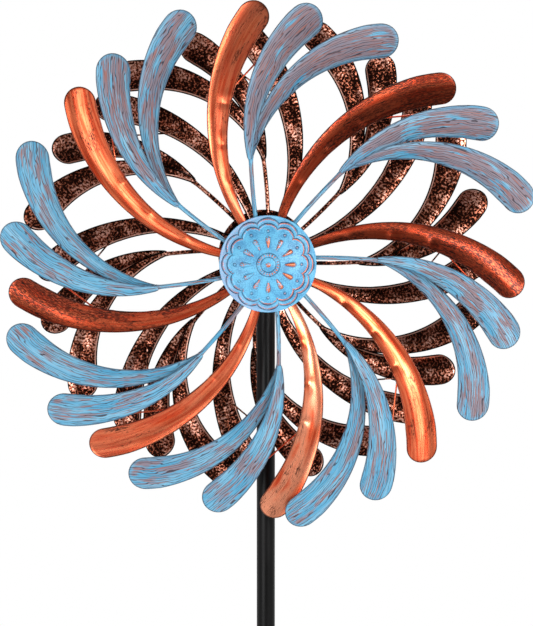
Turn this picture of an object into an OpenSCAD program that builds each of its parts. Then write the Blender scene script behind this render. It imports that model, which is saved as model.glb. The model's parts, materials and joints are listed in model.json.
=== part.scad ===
/* [Overall] */
// Height of the wheels' axis above the ground
axis_h = 1420; // [1300:10:1600]
// Distance between the middle planes of the two wheels
wheel_gap = 124; // [120:1:180]

/* [Wheels] */
// Radius that the blade tips of the front wheel reach
tip_r = 296; // [270:1:310]
// Size of the rear wheel's blades against the front wheel's
rear_ratio = 0.925; // [0.9:0.005:1]
// Lean of every blade out of its wheel's plane
pitch = 15; // [0:1:18]
// Hollow of a blade against half its width
hollow = 0.24; // [0:0.01:0.3]
// Thickness of the blade sheet
sheet_t = 1.2; // [0.8:0.1:1.2]
// Greatest width of a single blade
blade_w = 37; // [28:1:40]
// Greatest width of a leaf
leaf_w = 40; // [30:1:44]
// Diameter of the rod that carries a pair of leaves
stem_d = 5; // [4:0.5:5]
// Diameter of a brace wire
wire_d = 2; // [1.5:0.1:2.5]

/* [Hub] */
// Radius of the domed cap
dome_r = 56; // [52:1:60]
// Rise of the domed cap above its rim
dome_rise = 14; // [10:1:18]
// Radius of the disc that holds the blade roots
disc_r = 44; // [42:1:46]
// Diameter of the axle
axle_d = 8; // [8:1:8]
// Outer diameter of a bearing
bearing_d = 22; // [22:1:24]
// Width of a bearing
bearing_w = 7; // [6:1:7]

/* [Pole and fork] */
// Outer diameter of the pole
pole_d = 22; // [20:1:25]
// Wall of the pole
pole_wall = 1.6; // [1.2:0.1:2]
// Height of the joint between the bottom and middle sections
low_joint_h = 455; // [300:5:500]
// Height of the joint between the middle and top sections
high_joint_h = 905; // [800:5:950]
// Length of a ground spike below the ground line
spike_len = 180; // [120:10:250]
// Diameter of a ground spike
spike_d = 8; // [8:1:10]
// Diameter of the circle that the spikes stand on
spike_circle_d = 120; // [100:5:160]

/* [Hidden] */
$fn = 48;
count = 8;
step_angle = 360 / count;

// Blades and leaf pairs were bent by hand, so each is a few degrees off an even spacing, and the
// pairs reach a few millimetres more or less far
front_start = 136.5;
front_bend = [2.5, 1.5, -1.5, -6.5, -7, 0, 1, 5];
front_leaf_bend = [3.5, 1, -2, -6.5, -9, -2, 0.5, 4];
front_reach = [-2, -3, 10, 3, 5, -5, 6, 5];
rear_start = 89.5;
rear_bend = [-3, -1, -3, -4.5, 3.5, 2.5, 2, 1];
rear_leaf_bend = [-6.5, -4.5, -5, -4, -0.5, 0, -2, -1];
rear_reach = [3, 9, 4, 2, 0, -2, 1, 4];

// The root tangs and rods enter the disc at these radii and angles
tang_in_r = 38;
tang_angle = 28;
tang_w = 7;
rod_in_r = 34.5;
rod_in_angle = 16;
rod_out_r = 137;
rod_out_angle = 6;
leaf_root_r = 125;
leaf_root_angle = 7;
leaf_root_w = 5;
leaf_lift = 3.5;
blade_bow_r = 217;
near_leaf_bow_r = 183;
far_leaf_bow_r = 165;
ramp_len = 60;

// Stations along a sheet and columns across it
rows = 12;
cols = 4;

// The hub in its own axes, with z towards the wheel's face
disc_t = 10;
barrel_r = 15;
barrel_back = -21;
seat_gap = 0.02;
run_gap = 0.05;
end_play = 0.3;
ring_r = 32;
dome_wall = 1.5;
dome_z = disc_t / 2 + 2;
nut_flats = 13;
nut_t = 6;
washer_t = 1.5;
washer_r = 9;
sleeve_r = 7;
axle_end = disc_t / 2 + end_play + washer_t + nut_t + 1.2;

pole_r = pole_d / 2;
pole_top = axis_h - 22;
spigot_len = 50;
spigot_gap = 0.2;
block_r = 16;
block_low = 50;
boss_half = 20;
screw_r = 2.5;
screw_head_r = 4.5;
screw_head_t = 3;
bar_w = 24;
bar_t = 6;
socket_wall = 2.4;
socket_h = 90;
point_len = 16;
neck_d = spike_d - 1;

numbers = [for (i = [1:count]) i];

function polar(r, a) = [r * cos(a), r * sin(a)];
function turned(p, a) = [p[0] * cos(a) - p[1] * sin(a), p[0] * sin(a) + p[1] * cos(a), p[2]];
function angles(start, bends) = [for (i = numbers) start - (i - 1) * step_angle + bends[i - 1]];
front_angles = angles(front_start, front_bend);
front_leaf_angles = angles(front_start, front_leaf_bend);
rear_angles = angles(rear_start, rear_bend);
rear_leaf_angles = angles(rear_start, rear_leaf_bend);

// A sheet is a list: root, tip, radius of its bow, root width, full width, belly, lift off the wheel's plane.
// k shortens it, reach moves a leaf outwards, and every sheet bows to the left of the line from its
// root to its tip.
function blade_sheet(k) =
    [polar(tang_in_r, tang_angle), polar(tip_r * k, -2), blade_bow_r * k, tang_w, blade_w * k, 0, 0];
function near_leaf(k, reach) =
    [polar(leaf_root_r * k + reach, leaf_root_angle), polar(tip_r * k + 2 + reach, -14),
     near_leaf_bow_r * k, leaf_root_w, leaf_w * k, 0.3, leaf_lift];
function far_leaf(k, reach) =
    [polar(leaf_root_r * k + reach, leaf_root_angle), polar(tip_r * k + 3 + reach, -33),
     far_leaf_bow_r * k, leaf_root_w, leaf_w * k, 0, -leaf_lift];

function bow_centre(s) =
    let (a = s[0], b = s[1], chord = norm(b - a), left = [a[1] - b[1], b[0] - a[0]] / chord)
    (a + b) / 2 - left * sqrt(s[2] * s[2] - chord * chord / 4);
function root_turn(s) = let (d = s[0] - bow_centre(s)) atan2(d[1], d[0]);
function tip_turn(s) = let (d = s[1] - bow_centre(s)) atan2(d[1], d[0]);
function sheet_len(s) = s[2] * (root_turn(s) - tip_turn(s)) * PI / 180;
function half_width(s, v) =
    let (x = min(1, v / (0.85 * sheet_len(s)))) (s[3] + (s[4] - s[3]) * (x + s[5] * x * (1 - x))) / 2;

// Point of a sheet at distance v along its bow and at t, from -1 to 1, across it
function sheet_point(s, v, t) =
    let (a = root_turn(s) - v / s[2] * 180 / PI,
         ramp = min(1, v / ramp_len),
         h = half_width(s, v),
         lean = pitch * ramp,
         p = bow_centre(s) + polar(s[2] + h * t * cos(lean), a))
    [p[0], p[1], s[6] - h * t * sin(lean) - hollow * ramp * h * (1 - t * t)];

// Column j of the sheet stops short of the tip, so that the ends of the columns draw a round tip
function column(j) = sin(-90 + 180 * j / cols);
function row_dist(s, i, t) = i / rows * (sheet_len(s) - s[4] / 2 * (1 - sqrt(max(0, 1 - t * t))));

module sheet(s) {
    wide = cols + 1;
    layer = (rows + 1) * wide;
    points = [for (z = [sheet_t / 2, -sheet_t / 2], i = [0:rows], j = [0:cols])
        sheet_point(s, row_dist(s, i, column(j)), column(j)) + [0, 0, z]];
    top = [for (i = [0:rows - 1], j = [0:cols - 1], half = [0, 1])
        let (n = i * wide + j) half == 0 ? [n, n + 1, n + wide] : [n + 1, n + wide + 1, n + wide]];
    bottom = [for (f = top) [f[2] + layer, f[1] + layer, f[0] + layer]];
    border = concat([for (j = [0:cols]) j], [for (i = [1:rows]) i * wide + cols],
        [for (j = [1:cols]) rows * wide + cols - j], [for (i = [1:rows - 1]) (rows - i) * wide]);
    rim = [for (n = [0:len(border) - 1], half = [0, 1])
        let (a = border[n], b = border[(n + 1) % len(border)])
        half == 0 ? [b, a, a + layer] : [b, a + layer, b + layer]];
    polyhedron(points, concat(top, bottom, rim));
}

module rod(a, b, d) {
    v = b - a;
    translate(a)
        rotate([0, acos(v[2] / norm(v)), atan2(v[1], v[0])])
            cylinder(d = d, h = norm(v));
}

// The front wheel's own axes: x right, y up and z towards the viewer
module place_front() {
    translate([0, -wheel_gap / 2, axis_h])
        rotate([90, 0, 0])
            children();
}

// The rear wheel is the same design turned to face backwards
module place_rear() {
    rotate([0, 0, 180])
        place_front()
            children();
}

module both_ends() {
    place_front()
        children();
    place_rear()
        children();
}

module leaf_pair(k, reach) {
    rod([each polar(rod_in_r, rod_in_angle), 0], [each polar(rod_out_r * k + reach, rod_out_angle), 0],
        stem_d);
    sheet(near_leaf(k, reach));
    sheet(far_leaf(k, reach));
}

// A wire runs behind the single blade and out to the back of the near leaf
module brace_wire(k, reach, blade_angle, leaf_angle) {
    drop = [0, 0, -wire_d / 2 - sheet_t];
    leaf = near_leaf(k, reach);
    from_blade = sheet_point(blade_sheet(k), 0.57 * sheet_len(blade_sheet(k)), -0.1);
    to_leaf = sheet_point(leaf, 0.62 * sheet_len(leaf), 0.7);
    rod(turned(from_blade + drop, blade_angle), turned(to_leaf + 2 * drop, leaf_angle), wire_d);
}

module hub(blade_angles, leaf_angles) {
    difference() {
        union() {
            translate([0, 0, -disc_t / 2])
                cylinder(r = disc_r, h = disc_t);
            translate([0, 0, barrel_back])
                cylinder(r = barrel_r, h = -barrel_back);
            translate([0, 0, disc_t / 2 - 1])
                cylinder(r = ring_r, h = 5);
        }
        translate([0, 0, disc_t / 2])
            cylinder(r = ring_r - 2, h = 10);
        translate([0, 0, barrel_back - 1])
            cylinder(r = bearing_d / 2 - 3, h = 40);
        for (low = [barrel_back - 1, disc_t / 2 - bearing_w])
            translate([0, 0, low])
                cylinder(r = bearing_d / 2 + seat_gap, h = bearing_w + 1);
        for (a = blade_angles)
            rotate([0, 0, a + tang_angle])
                translate([tang_in_r - 1.5, -tang_w / 2 - 0.8, -sheet_t / 2 - 0.5])
                    cube([20, tang_w + 1.6, sheet_t + 1]);
        for (a = leaf_angles)
            rotate([0, 0, a])
                rod([each polar(rod_in_r - 0.5, rod_in_angle), 0],
                    [each polar(rod_out_r, rod_out_angle), 0], stem_d + 0.3);
    }
}

module bearing() {
    rotate_extrude()
        difference() {
            translate([axle_d / 2 + run_gap, 0])
                square([bearing_d / 2 - axle_d / 2 - run_gap, bearing_w]);
            for (z = [0, bearing_w])
                translate([bearing_d / 4 + 2, z])
                    square([4, 1], center = true);
        }
}

module bearings() {
    translate([0, 0, barrel_back])
        bearing();
    translate([0, 0, disc_t / 2 - bearing_w])
        bearing();
}

module dome_cap() {
    outer_r = (dome_r * dome_r + dome_rise * dome_rise) / (2 * dome_rise);
    rotate_extrude() {
        intersection() {
            translate([0, dome_z + dome_rise - outer_r])
                difference() {
                    circle(outer_r, $fn = 180);
                    circle(outer_r - dome_wall, $fn = 180);
                }
            translate([0, dome_z])
                square([dome_r, dome_rise + 1]);
        }
        translate([ring_r + 0.2, dome_z])
            square([dome_wall, dome_rise * 0.6]);
        translate([0, dome_z + dome_rise - dome_wall])
            square([3.5, dome_wall + 1.2]);
    }
}

module tube(low, high, spigot) {
    in_r = pole_r - pole_wall;
    spigot_r = in_r - spigot_gap;
    end = spigot ? [[spigot_r, high + 2], [spigot_r, high + spigot_len],
                    [spigot_r - pole_wall, high + spigot_len], [spigot_r - pole_wall, high - 2]]
                 : [];
    rotate_extrude()
        polygon(concat([[in_r, low], [pole_r, low], [pole_r, high]], end,
                       [[in_r, spigot ? high - 4 : high]]));
}

module side_screw(z, face_r, shank, turn) {
    translate([0, 0, z])
        rotate([0, 90, turn]) {
            translate([0, 0, face_r - shank])
                cylinder(r = screw_r, h = shank);
            translate([0, 0, face_r])
                cylinder(r = screw_head_r, h = screw_head_t);
        }
}

module screw_hole(z, turn) {
    translate([0, 0, z])
        rotate([0, 90, turn])
            cylinder(r = screw_r + 0.1, h = pole_d);
}

module pole_top_section() {
    color("#1a191a")
        difference() {
            tube(high_joint_h + 2.2, pole_top, false);
            screw_hole(axis_h - 36, 0);
            screw_hole(high_joint_h + spigot_len / 2, 90);
        }
}

module pole_middle_section() {
    color("#1a191a")
        difference() {
            tube(low_joint_h + 2.2, high_joint_h, true);
            screw_hole(high_joint_h + spigot_len / 2, 90);
            screw_hole(low_joint_h + spigot_len / 2, 90);
        }
}

module pole_bottom_section() {
    color("#1a191a")
        difference() {
            tube(bar_t, low_joint_h, true);
            screw_hole(low_joint_h + spigot_len / 2, 90);
            screw_hole(bar_t + socket_h - 15, 90);
        }
}

module pole_joint_screws() {
    color("#3a3a3c")
        for (z = [low_joint_h, high_joint_h])
            side_screw(z + spigot_len / 2, pole_r, 5, 90);
    color("#3a3a3c")
        side_screw(bar_t + socket_h - 15, pole_r + socket_wall + 0.15, 5.5, 90);
}

module fork_socket() {
    color("#1a191a")
        difference() {
            translate([0, 0, bar_t])
                cylinder(r = pole_r + socket_wall + 0.15, h = socket_h);
            translate([0, 0, bar_t - 1])
                cylinder(r = pole_r + 0.15, h = socket_h + 2);
            screw_hole(bar_t + socket_h - 15, 90);
        }
}

module fork_cross_bars() {
    color("#1a191a")
        difference() {
            for (turn = [45, 135])
                rotate([0, 0, turn]) {
                    translate([-spike_circle_d / 2, -bar_w / 2, 0])
                        cube([spike_circle_d, bar_w, bar_t]);
                    for (side = [-1, 1])
                        translate([side * spike_circle_d / 2, 0, 0])
                            cylinder(d = bar_w, h = bar_t);
                }
            for (turn = [45:90:315])
                rotate([0, 0, turn])
                    translate([spike_circle_d / 2, 0, -1])
                        cylinder(r = neck_d / 2 + run_gap, h = bar_t + 2);
        }
}

module ground_spikes() {
    color("#2a2a2c")
        for (turn = [45:90:315])
            rotate([0, 0, turn])
                translate([spike_circle_d / 2, 0, 0]) {
                    cylinder(d = neck_d, h = bar_t);
                    translate([0, 0, point_len - spike_len])
                        cylinder(d = spike_d, h = spike_len - point_len);
                    translate([0, 0, -spike_len])
                        cylinder(d1 = 1, d2 = spike_d, h = point_len);
                    translate([0, 0, bar_t])
                        cylinder(r = spike_d / 2 + 2.5, h = 4);
                }
}

module head_block() {
    color("#1a191a")
        difference() {
            union() {
                translate([0, 0, axis_h - block_low])
                    cylinder(r = block_r, h = block_low + 12);
                translate([0, 0, axis_h + 12])
                    cylinder(r1 = block_r, r2 = block_r - 6, h = 6);
                translate([0, boss_half, axis_h])
                    rotate([90, 0, 0])
                        cylinder(r = 12, h = 2 * boss_half);
            }
            translate([0, 0, axis_h - block_low - 1])
                cylinder(r = pole_r + 0.1, h = pole_top - axis_h + block_low + 1.3);
            translate([0, boss_half + 1, axis_h])
                rotate([90, 0, 0])
                    cylinder(r = axle_d / 2 + run_gap, h = 2 * boss_half + 2);
            screw_hole(axis_h - 36, 0);
        }
}

module head_screw() {
    color("#3a3a3c")
        side_screw(axis_h - 36, block_r, 7.5, 0);
}

module axle() {
    half = wheel_gap / 2 + axle_end;
    color("#b8babc")
        translate([0, half, axis_h])
            rotate([90, 0, 0])
                cylinder(d = axle_d, h = 2 * half);
}

module collar(r, h, sides) {
    difference() {
        cylinder(r = r, h = h, $fn = sides);
        translate([0, 0, -1])
            cylinder(r = axle_d / 2 + run_gap, h = h + 2);
    }
}

module spacer_sleeves() {
    back = boss_half - wheel_gap / 2;
    color("#b8babc")
        both_ends()
            mirror([0, 0, 1])
                translate([0, 0, -barrel_back + end_play])
                    collar(sleeve_r, -back + barrel_back - end_play, 48);
}

module axle_washers() {
    color("#b8babc")
        both_ends()
            translate([0, 0, disc_t / 2 + end_play])
                collar(washer_r, washer_t, 48);
}

module axle_lock_nuts() {
    color("#b8babc")
        both_ends()
            translate([0, 0, disc_t / 2 + end_play + washer_t])
                collar(nut_flats / sqrt(3), nut_t, 6);
}

module front_hub() {
    color("#4f8fae")
        place_front()
            hub(front_angles, front_leaf_angles);
}

module front_bearings() {
    color("#b8babc")
        place_front()
            bearings();
}

module front_dome_cap() {
    color("#64b4d7")
        place_front()
            dome_cap();
}

module front_brace_wires() {
    color("#b5482a")
        place_front()
            for (i = numbers)
                brace_wire(1, front_reach[i - 1], front_angles[i - 1], front_leaf_angles[i - 1]);
}

module front_copper_blade(i) {
    color("#d4562e")
        place_front()
            rotate([0, 0, front_angles[i - 1]])
                sheet(blade_sheet(1));
}

module front_leaf_pair(i) {
    color("#64b4d7")
        place_front()
            rotate([0, 0, front_leaf_angles[i - 1]])
                leaf_pair(1, front_reach[i - 1]);
}

module rear_hub() {
    color("#3a2018")
        place_rear()
            hub(rear_angles, rear_leaf_angles);
}

module rear_bearings() {
    color("#b8babc")
        place_rear()
            bearings();
}

module rear_dome_cap() {
    color("#5a3020")
        place_rear()
            dome_cap();
}

module rear_brace_wires() {
    color("#3a2018")
        place_rear()
            for (i = numbers)
                brace_wire(rear_ratio, rear_reach[i - 1], rear_angles[i - 1], rear_leaf_angles[i - 1]);
}

module rear_blade(i) {
    color("#5a3020")
        place_rear()
            rotate([0, 0, rear_angles[i - 1]])
                sheet(blade_sheet(rear_ratio));
}

module rear_leaf_pair(i) {
    color("#5a3020")
        place_rear()
            rotate([0, 0, rear_leaf_angles[i - 1]])
                leaf_pair(rear_ratio, rear_reach[i - 1]);
}

pole_top_section();
pole_middle_section();
pole_bottom_section();
pole_joint_screws();
fork_socket();
fork_cross_bars();
ground_spikes();
head_block();
head_screw();
axle();
spacer_sleeves();
axle_washers();
axle_lock_nuts();
front_hub();
front_bearings();
front_dome_cap();
front_brace_wires();
rear_hub();
rear_bearings();
rear_dome_cap();
rear_brace_wires();
for (i = numbers) {
    front_copper_blade(i);
    front_leaf_pair(i);
    rear_blade(i);
    rear_leaf_pair(i);
}
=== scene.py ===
"""Looks of the kinetic wind sculpture: two wheels of curved sheet blades on a black pole."""

import functools
import json
import logging
import math
from dataclasses import dataclass, field
from enum import Enum
from typing import Any

import bpy
import numpy as np
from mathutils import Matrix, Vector

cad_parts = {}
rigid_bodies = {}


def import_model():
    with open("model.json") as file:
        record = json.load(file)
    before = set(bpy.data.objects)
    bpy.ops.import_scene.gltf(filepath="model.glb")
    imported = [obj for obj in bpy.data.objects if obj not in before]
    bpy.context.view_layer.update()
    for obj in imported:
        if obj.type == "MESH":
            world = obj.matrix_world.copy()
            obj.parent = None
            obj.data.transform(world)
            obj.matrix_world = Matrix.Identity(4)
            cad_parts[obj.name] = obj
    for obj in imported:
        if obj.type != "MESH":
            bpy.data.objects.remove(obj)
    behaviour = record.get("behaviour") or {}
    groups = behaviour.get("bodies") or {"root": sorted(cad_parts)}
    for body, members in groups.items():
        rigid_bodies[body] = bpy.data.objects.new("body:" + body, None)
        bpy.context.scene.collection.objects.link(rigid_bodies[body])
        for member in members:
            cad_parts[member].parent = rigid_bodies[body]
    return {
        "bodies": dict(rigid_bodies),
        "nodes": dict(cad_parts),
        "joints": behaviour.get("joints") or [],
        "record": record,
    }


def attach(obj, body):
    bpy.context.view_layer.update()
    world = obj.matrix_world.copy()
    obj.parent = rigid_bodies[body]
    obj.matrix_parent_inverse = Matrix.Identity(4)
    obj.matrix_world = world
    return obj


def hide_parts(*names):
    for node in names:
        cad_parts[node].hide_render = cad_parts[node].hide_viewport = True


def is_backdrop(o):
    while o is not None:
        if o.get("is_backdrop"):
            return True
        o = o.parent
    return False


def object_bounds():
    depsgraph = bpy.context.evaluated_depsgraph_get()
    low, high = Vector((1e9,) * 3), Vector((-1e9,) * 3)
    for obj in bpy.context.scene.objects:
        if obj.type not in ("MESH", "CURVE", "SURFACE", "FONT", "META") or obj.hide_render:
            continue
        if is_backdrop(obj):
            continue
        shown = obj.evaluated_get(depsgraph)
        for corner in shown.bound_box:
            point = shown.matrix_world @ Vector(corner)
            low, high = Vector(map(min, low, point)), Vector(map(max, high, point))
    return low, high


MM = 0.001
COUNT = 8
STEP = 360.0 / COUNT
FAR_FROM_EDGE = 10.0  # edge distance in mm where a surface has no edge to wear
PATTERN_SHIFT = 500.0  # mm between the stretches of pattern that two seeds use
ROD_WEAR = 0.3  # wear of the rods and wires
log = logging.getLogger("wind_sculpture")

Array = np.ndarray
Tree = bpy.types.NodeTree
Node = bpy.types.Node
Socket = bpy.types.NodeSocket
Coat = tuple[Socket, Socket]
Material = bpy.types.Material
Piece = bpy.types.Object


def linear(code: str) -> tuple[float, float, float, float]:
    """Turns an sRGB hex colour into linear RGBA.

    Args:
        code: Six hex digits with a leading hash.

    Returns:
        Linear red, green and blue, and an alpha of 1.
    """
    parts = (int(code[k : k + 2], 16) / 255 for k in (1, 3, 5))
    r, g, b = (c / 12.92 if c <= 0.04045 else ((c + 0.055) / 1.055) ** 2.4 for c in parts)
    return r, g, b, 1.0


def add(tree: Tree, kind: str, inputs: dict[Any, Any] | None = None, **settings: Any) -> Node:
    """Adds one shader node.

    Args:
        tree: Tree that the node goes in.
        kind: Node type without its ShaderNode prefix.
        inputs: Socket name or number to a value, or to an output socket that is linked to it.
        settings: Properties of the node.

    Returns:
        The new node.
    """
    node = tree.nodes.new("ShaderNode" + kind)
    for name, value in settings.items():
        setattr(node, name, value)
    for key, value in (inputs or {}).items():
        if isinstance(value, Socket):
            tree.links.new(value, node.inputs[key])
        else:
            node.inputs[key].default_value = value
    return node


def new_material(name: str) -> tuple[Material, Tree, Node]:
    """Makes an empty node material.

    Args:
        name: Name of the finish.

    Returns:
        The material, its tree and its Principled node, which is already linked to the output.
    """
    material = bpy.data.materials.new(name)
    material.use_nodes = True
    tree = material.node_tree
    return material, tree, tree.nodes["Principled BSDF"]


class MixIn(int, Enum):
    """Sockets of the Mix node when it mixes colours."""

    FACTOR = 0
    FIRST = 6
    SECOND = 7


MIX_OUT = 2


def smooth(x: Array, low: float, high: float) -> Array:
    """Smooth step: 0 at low, 1 at high, with a level start and end.

    Args:
        x: Values.
        low: Value where the step starts.
        high: Value where it ends.

    Returns:
        Step values from 0 to 1.
    """
    s = np.clip((x - low) / (high - low), 0.0, 1.0)
    return s * s * (3.0 - 2.0 * s)


@dataclass(frozen=True)
class Strokes:
    """A noise drawn out along a sheet, as a stiff brush or a belt leaves it.

    Attributes:
        width: Width of one stroke, in mm.
        length: Length of one stroke, in mm.
        detail: Octaves of finer strokes inside it.
    """

    width: float
    length: float
    detail: float = 3.0

    def noise(self, tree: Tree, where: Socket) -> Socket:
        """Adds the noise.

        Args:
            tree: Tree of the material.
            where: Position across and along the sheet, in metres.

        Returns:
            The noise value, about 0.5 on average.
        """
        scale = (1 / (self.width * MM), 1 / (self.length * MM), 1.0)
        place = add(tree, "Mapping", {"Vector": where, "Scale": scale})
        noise = add(tree, "TexNoise", {"Vector": place.outputs[0], "Scale": 1.0, "Detail": self.detail})
        return noise.outputs["Fac"]


def ramp(tree: Tree, value: Socket, low: float, high: float, start: float = 0.0,
         end: float = 1.0) -> Socket:
    """Maps low..high to start..end with a smooth step, clamped.

    Args:
        tree: Tree of the material.
        value: Value to map.
        low: Value that gives start.
        high: Value that gives end.
        start: Result at low.
        end: Result at high.

    Returns:
        The mapped value.
    """
    inputs = {"Value": value, "From Min": low, "From Max": high, "To Min": start, "To Max": end}
    return add(tree, "MapRange", inputs, interpolation_type="SMOOTHSTEP").outputs[0]


def chain(tree: Tree, operation: str, values: tuple[Any, ...]) -> Socket:
    """Joins sockets or numbers with one operation, from left to right.

    Args:
        tree: Tree of the material.
        operation: Name of the operation in a Math node.
        values: Two or more sockets or numbers.

    Returns:
        The result.
    """
    result = values[0]
    for value in values[1:]:
        result = add(tree, "Math", {0: result, 1: value}, operation=operation).outputs[0]
    return result


def product(tree: Tree, *values: Any) -> Socket:
    """Multiplies sockets or numbers."""
    return chain(tree, "MULTIPLY", values)


def total(tree: Tree, *values: Any) -> Socket:
    """Adds sockets or numbers."""
    return chain(tree, "ADD", values)


def tint(tree: Tree, factor: Any, first: Any, second: Any) -> Socket:
    """Mixes two colours.

    Args:
        tree: Tree of the material.
        factor: Share of the second colour.
        first: Colour, or its socket.
        second: Colour, or its socket.

    Returns:
        The mixed colour.
    """
    inputs = {MixIn.FACTOR.value: factor, MixIn.FIRST.value: first, MixIn.SECOND.value: second}
    return add(tree, "Mix", inputs, data_type="RGBA").outputs[MIX_OUT]


def attribute(tree: Tree, name: str) -> Socket:
    """Reads one of the sheet's own point values.

    Args:
        tree: Tree of the material.
        name: Name of the attribute.

    Returns:
        Its value.
    """
    return add(tree, "Attribute", attribute_name=name).outputs["Fac"]


def bump(tree: Tree, shader: Node, height: Socket, depth: float) -> None:
    """Gives a shader a fine relief.

    Args:
        tree: Tree of the material.
        shader: The Principled node.
        height: Relief from 0 to 1.
        depth: Depth of the relief, in mm.
    """
    node = add(tree, "Bump", {"Height": height, "Strength": 1.0, "Distance": depth * MM})
    tree.links.new(node.outputs[0], shader.inputs["Normal"])


def speckle(tree: Tree, where: Socket, size: float, detail: float) -> Socket:
    """Adds a noise that is alike in every direction.

    Args:
        tree: Tree of the material.
        where: Position in metres.
        size: Size of a spot, in mm.
        detail: Octaves of finer spots inside it.

    Returns:
        The noise value, about 0.5 on average.
    """
    return add(tree, "TexNoise", {"Vector": where, "Scale": 1 / (size * MM), "Detail": detail}).outputs["Fac"]


@dataclass(frozen=True)
class Finish:
    """A surface finish; every piece that has it shares one material."""

    name: str

    def paint(self, tree: Tree, shader: Node) -> Coat:
        """Adds the finish's own nodes.

        Args:
            tree: Tree of the material.
            shader: Its Principled node.

        Returns:
            Base colour and roughness.
        """
        raise NotImplementedError

    @functools.cache
    def material(self) -> Material:
        """Returns the material, made once."""
        material, tree, shader = new_material(self.name)
        for name, socket in zip(("Base Color", "Roughness"), self.paint(tree, shader)):
            tree.links.new(socket, shader.inputs[name])
        return material


@dataclass(frozen=True)
class CopperLacquer(Finish):
    """Sheet steel in bright copper lacquer, burnished dark in dry brush strokes towards the tips.

    A blade's wear, from 0 to 1, says how much of it the dark brush marks cover and how much painted shade
    darkens its lacquer.
    Below 0, down to -1, it says how much painted sheen, a pale peach, lies on it.
    """

    name: str = "burnished copper lacquer"
    bright: str = "#ff8052"
    deep: str = "#de481f"
    # Painted sheen: pale peach laid on the blades whose value is below 0.
    rub_and_sheen: str = "#ffa27c"
    # Mostly painted shade: deep red-brown over the blades whose value is above 0.3.
    shade_and_age: str = "#a03212"
    burnish_and_shading: str = "#2c0f08"
    sheen: Strokes = Strokes(3.0, 60.0)
    cloud: Strokes = Strokes(11.0, 46.0, 2.0)
    grain: Strokes = Strokes(0.9, 5.0, 3.0)
    hairs: Strokes = Strokes(1.3, 34.0, 2.0)

    def paint(self, tree: Tree, shader: Node) -> Coat:
        """Adds the nodes, as Finish.paint says."""
        where = add(tree, "UVMap", uv_map="strokes").outputs[0]
        sheen, cloud = self.sheen.noise(tree, where), self.cloud.noise(tree, where)
        grain, hairs = self.grain.noise(tree, where), self.hairs.noise(tree, where)
        along, wear = attribute(tree, "along"), attribute(tree, "wear")
        fresh = tint(tree, ramp(tree, sheen, 0.36, 0.64), linear(self.deep), linear(self.bright))
        # Painted sheen: pale peach on the tips and in cloud patches of blades below 0. Painted shade: deep
        # red-brown over blades above 0.3.
        shiny = total(tree, ramp(tree, cloud, 0.35, 0.6), ramp(tree, along, 0.85, 1.0))
        painted_sheen = product(tree, ramp(tree, wear, -1.0, 0.0, 0.9, 0.0), shiny)
        with_painted_sheen = tint(tree, painted_sheen, fresh, linear(self.rub_and_sheen))
        body = tint(tree, ramp(tree, wear, 0.3, 1.0, 0.0, 0.75), with_painted_sheen, linear(self.shade_and_age))
        # Blades with higher values, which carry the painted shade, also get the dark brush marks further in.
        outer, shade_and_age = ramp(tree, along, 0.3, 0.9, 0.0, 0.2), ramp(tree, wear, 0.0, 1.0, 0.0, 0.3)
        reached = total(tree, cloud, outer, shade_and_age)
        patch = ramp(tree, reached, 0.66, 0.9)
        dabs = ramp(tree, total(tree, grain, product(tree, patch, 0.2)), 0.6, 0.72)
        lines = product(tree, ramp(tree, hairs, 0.56, 0.66), ramp(tree, reached, 0.58, 0.75, 0.1, 0.5))
        worn = tint(tree, total(tree, product(tree, dabs, 0.8), lines), body, linear(self.burnish_and_shading))
        outline = ramp(tree, attribute(tree, "edge_mm"), 0.45, 0.9, 0.75, 0.0)
        colour = tint(tree, outline, worn, linear(self.burnish_and_shading))
        shader.inputs["Metallic"].default_value = 1.0
        rough = ramp(tree, total(tree, dabs, lines), 0.0, 1.0, 0.27, 0.45)
        shader.inputs["Coat Weight"].default_value = 0.3
        shader.inputs["Coat Roughness"].default_value = 0.25
        bump(tree, shader, hairs, 0.05)
        return colour, rough


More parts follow.
